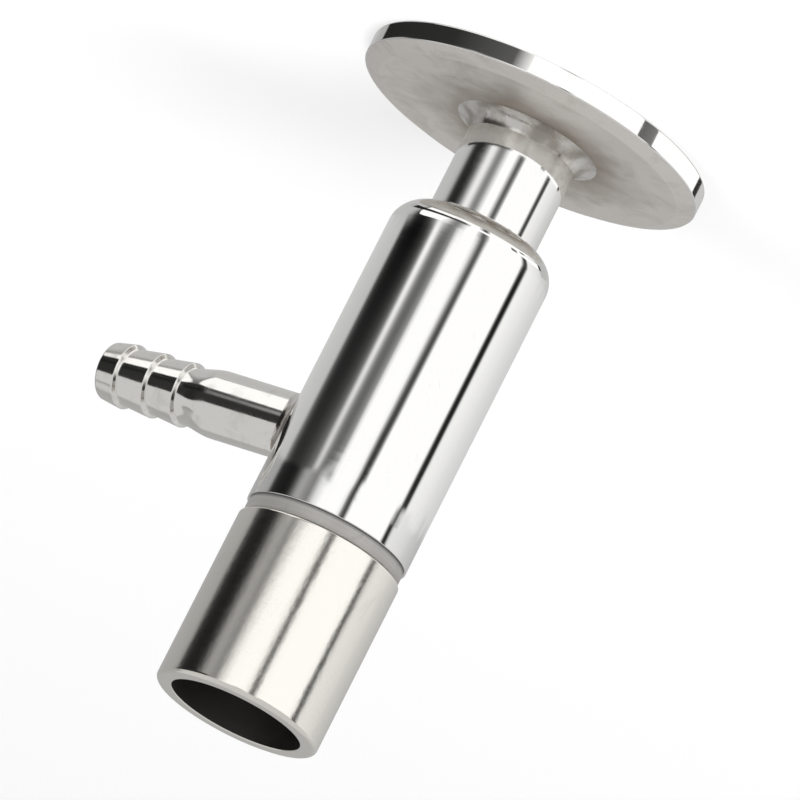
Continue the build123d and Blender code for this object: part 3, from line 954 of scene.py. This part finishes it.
frontCard = [
    (-4, 1.05, 1.15, 1.15, 1.15, -900, 200), (0, 0.60, 0.90, 1.10, 0.98, -900, 200),
    (3, 0.28, 0.50, 0.42, 0.28, -900, 200), (5.5, 0.12, 0.22, 0.06, 0.09, -900, 200),
    (8, 0.14, 0.09, 0.03, 0.09, -900, 200), (10.5, 0.26, 0.20, 0.10, 0.62, -900, 200),
    (12.5, 0.50, 0.62, 0.42, 1.15, -900, 200), (15, 0.90, 1.15, 1.15, 1.15, -900, 200),
]
rightCard = [
    (66.5, 1.15, 1.15, 1.15, 1.15, -420, 200), (68.5, 1.15, 1.15, 1.15, 0.60, -420, 200),
    (70.5, 0.80, 1.10, 1.15, 0.08, -420, 200), (72.5, 0.35, 0.35, 0.70, 0.02, -420, 200),
    (75, 0.07, 0.02, 0.08, 0.06, -420, 200), (78, 0.07, 0.01, 0.02, 0.62, -420, 200),
    (80, 0.12, 0.05, 0.02, 0.86, -420, 200), (82, 0.60, 0.35, 0.12, 0.88, -420, 200),
    (84, 1.0, 0.95, 0.70, 0.88, -420, 200), (87, 1.0, 1.05, 1.0, 0.87, -420, 200),
    (100, 0.93, 0.96, 0.96, 0.82, -420, 200), (112, 0.85, 0.90, 0.90, 0.76, -420, 200),
    (120, 0.76, 0.84, 0.84, 0.68, -180, 420), (140, 0.66, 0.74, 0.75, 0.58, -180, 420),
    (160, 0.58, 0.68, 0.68, 0.50, -180, 420), (180, 0.55, 0.66, 0.64, 0.45, -180, 420),
]
# Plain cards: ring, name, first and last turn, shade at the first and at the last turn. The
# low ring stands close to the ferrule, for its rim
backRing = {"radius": 452, "low": -900, "high": -178}
rimRing = {"radius": 45, "low": -10, "high": -2.75}
turnPerFace = 4
plainCards = [
    (backRing, "backCard", 112, 248, 0.55, 0.55),
    (rimRing, "rimPaleLeft", -126, -112, 0.5, 0.45),
    (rimRing, "rimBlack", -112, -54, 0.02, 0.03),
    (rimRing, "rimDark", -54, -22, 0.03, 0.11),
    (rimRing, "rimFade", -22, -14, 0.11, 0.95),
    (rimRing, "rimWhite", -14, 45.5, 1.25, 1.25),
    (rimRing, "rimNotch", 45.5, 55.5, 0.13, 0.22),
    (rimRing, "rimPale", 55.5, 104, 1.25, 1.25),
    (rimRing, "rimLine", 104, 112, 0.02, 0.05),
]


def clearedTree(owner):
    owner.use_nodes = True
    owner.node_tree.nodes.clear()
    return owner.node_tree


def cardMaterial():
    material = bpy.data.materials.new("card")
    tree = clearedTree(material)
    shade = put(tree, "ShaderNodeAttribute", attribute_name="shade").outputs["Color"]
    light = put(tree, "ShaderNodeEmission", {"Color": shade, "Strength": 1.0}).outputs[0]
    put(tree, "ShaderNodeOutputMaterial", {"Surface": light})
    return material


cardPaper = cardMaterial()


def standCard(name, points, faces, shades):
    mesh = bpy.data.meshes.new(name)
    mesh.from_pydata([Vector(point) * mm for point in points], [], faces)
    colours = [channel for tone in shades for channel in (tone, tone, tone, 1.0)]
    mesh.attributes.new("shade", "FLOAT_COLOR", "POINT").data.foreach_set("color", colours)
    mesh.materials.append(cardPaper)
    sheet = addObject(name, mesh)
    sheet.visible_camera = sheet.visible_diffuse = sheet.visible_shadow = False
    sheet.visible_transmission = sheet.visible_volume_scatter = False


def onRing(radius, turn, height):
    angle = math.radians(viewSide - turn)
    return (radius * math.cos(angle), radius * math.sin(angle), height)


def makeShadedCard(name, uprights):
    points, shades, faces = [], [], []
    rows = len(cardHeights) + 2
    blackFrom, blackTo = upperBlack["turns"]
    for turn, neck, high, low, knob, foot, top in uprights:
        above = upperBlack["shade"] if blackFrom <= turn <= blackTo else knob
        heights = (min(foot, lowestFoot), *cardHeights, top)
        points += [onRing(cardRing, turn, height) for height in heights]
        shades += [neck, neck, neck, high, low, knob, knob, above, above]
    for i in range(len(uprights) - 1):
        for k in range(rows - 1):
            j = i * rows + k
            faces.append((j, j + rows, j + rows + 1, j + 1))
    standCard(name, points, faces, shades)


def makePlainCard(ring, name, first, last, startShade, endShade):
    steps = max(2, int((last - first) / turnPerFace))
    points, shades, faces = [], [], []
    for i in range(steps + 1):
        turn = first + (last - first) * i / steps
        points += [onRing(ring["radius"], turn, height) for height in (ring["low"], ring["high"])]
        shades += [startShade + (endShade - startShade) * i / steps] * 2
        if i:
            faces.append((2 * i - 2, 2 * i, 2 * i + 1, 2 * i - 1))
    standCard(name, points, faces, shades)


makeShadedCard("leftCard", leftCard)
makeShadedCard("frontCard", frontCard)
makeShadedCard("rightCard", rightCard)
for card in plainCards:
    makePlainCard(*card)

# Floor: grey to everything but the camera, which sees it lifted to white, with its shadows
floorLook = {"half": 6000.0, "paint": 0.50, "lift": 0.50}


def makeFloor(look):
    half = look["half"] * mm
    mesh = bpy.data.meshes.new("floor")
    corners = [(-half, -half, 0), (half, -half, 0), (half, half, 0), (-half, half, 0)]
    mesh.from_pydata(corners, [], [(0, 1, 2, 3)])
    material = bpy.data.materials.new("floorPaint")
    tree = clearedTree(material)
    seen = put(tree, "ShaderNodeLightPath").outputs["Is Camera Ray"]
    grey = look["paint"]
    paint = put(tree, "ShaderNodeBsdfDiffuse", {"Color": (grey, grey, grey, 1)}).outputs[0]
    glow = put(tree, "ShaderNodeEmission", {"Color": (1, 1, 1, 1),
                                            "Strength": times(tree, seen, look["lift"])}).outputs[0]
    both = put(tree, "ShaderNodeAddShader", {0: paint, 1: glow}).outputs[0]
    put(tree, "ShaderNodeOutputMaterial", {"Surface": both})
    mesh.materials.append(material)
    floor = addObject("floor", mesh)
    floor.visible_glossy = False


makeFloor(floorLook)

lamps = [
    {"name": "keyLamp", "at": (-900.0, -500.0, 1300.0), "width": 900.0, "power": 16.0},
    {"name": "fillLamp", "at": (900.0, -900.0, 900.0), "width": 1200.0, "power": 9.0},
]
lampAim = (0.0, 0.0, 50.0)


def makeLamp(lamp):
    data = bpy.data.lights.new(lamp["name"], "AREA")
    data.shape, data.size, data.energy = "DISK", lamp["width"] * mm, lamp["power"]
    thing = addObject(lamp["name"], data)
    thing.location = Vector(lamp["at"]) * mm
    towards = Vector(lampAim) * mm - thing.location
    thing.rotation_euler = towards.to_track_quat("-Z", "Y").to_euler()
    thing.visible_glossy = False


for lamp in lamps:
    makeLamp(lamp)

# World: soft light for the object and white for the camera. Reflections see a white sweep
# below the horizon and a greyer ceiling above it
worldLight = {"soft": 0.5, "seen": 1.0, "sweep": 1.16, "ceiling": 0.64, "horizon": (-0.06, 0.10)}


def makeWorld(light):
    scene.world = bpy.data.worlds.new("studio")
    tree = clearedTree(scene.world)
    path = put(tree, "ShaderNodeLightPath").outputs
    seen = calc(tree, "MAXIMUM", path["Is Camera Ray"], path["Is Transmission Ray"])
    height = parts(tree, put(tree, "ShaderNodeTexCoord").outputs["Generated"])[2]
    mirrored = spread(tree, height, *light["horizon"], light["sweep"], light["ceiling"])

    def background(strength):
        values = {"Color": (1, 1, 1, 1), "Strength": strength}
        return put(tree, "ShaderNodeBackground", values).outputs[0]

    def mix(share, first, second):
        return put(tree, "ShaderNodeMixShader", {0: share, 1: first, 2: second}).outputs[0]

    lit = mix(path["Is Glossy Ray"], background(light["soft"]), background(mirrored))
    sky = mix(seen, lit, background(light["seen"]))
    put(tree, "ShaderNodeOutputWorld", {"Surface": sky})


makeWorld(worldLight)
scene.view_settings.view_transform = "Standard"
print("camera and studio set")
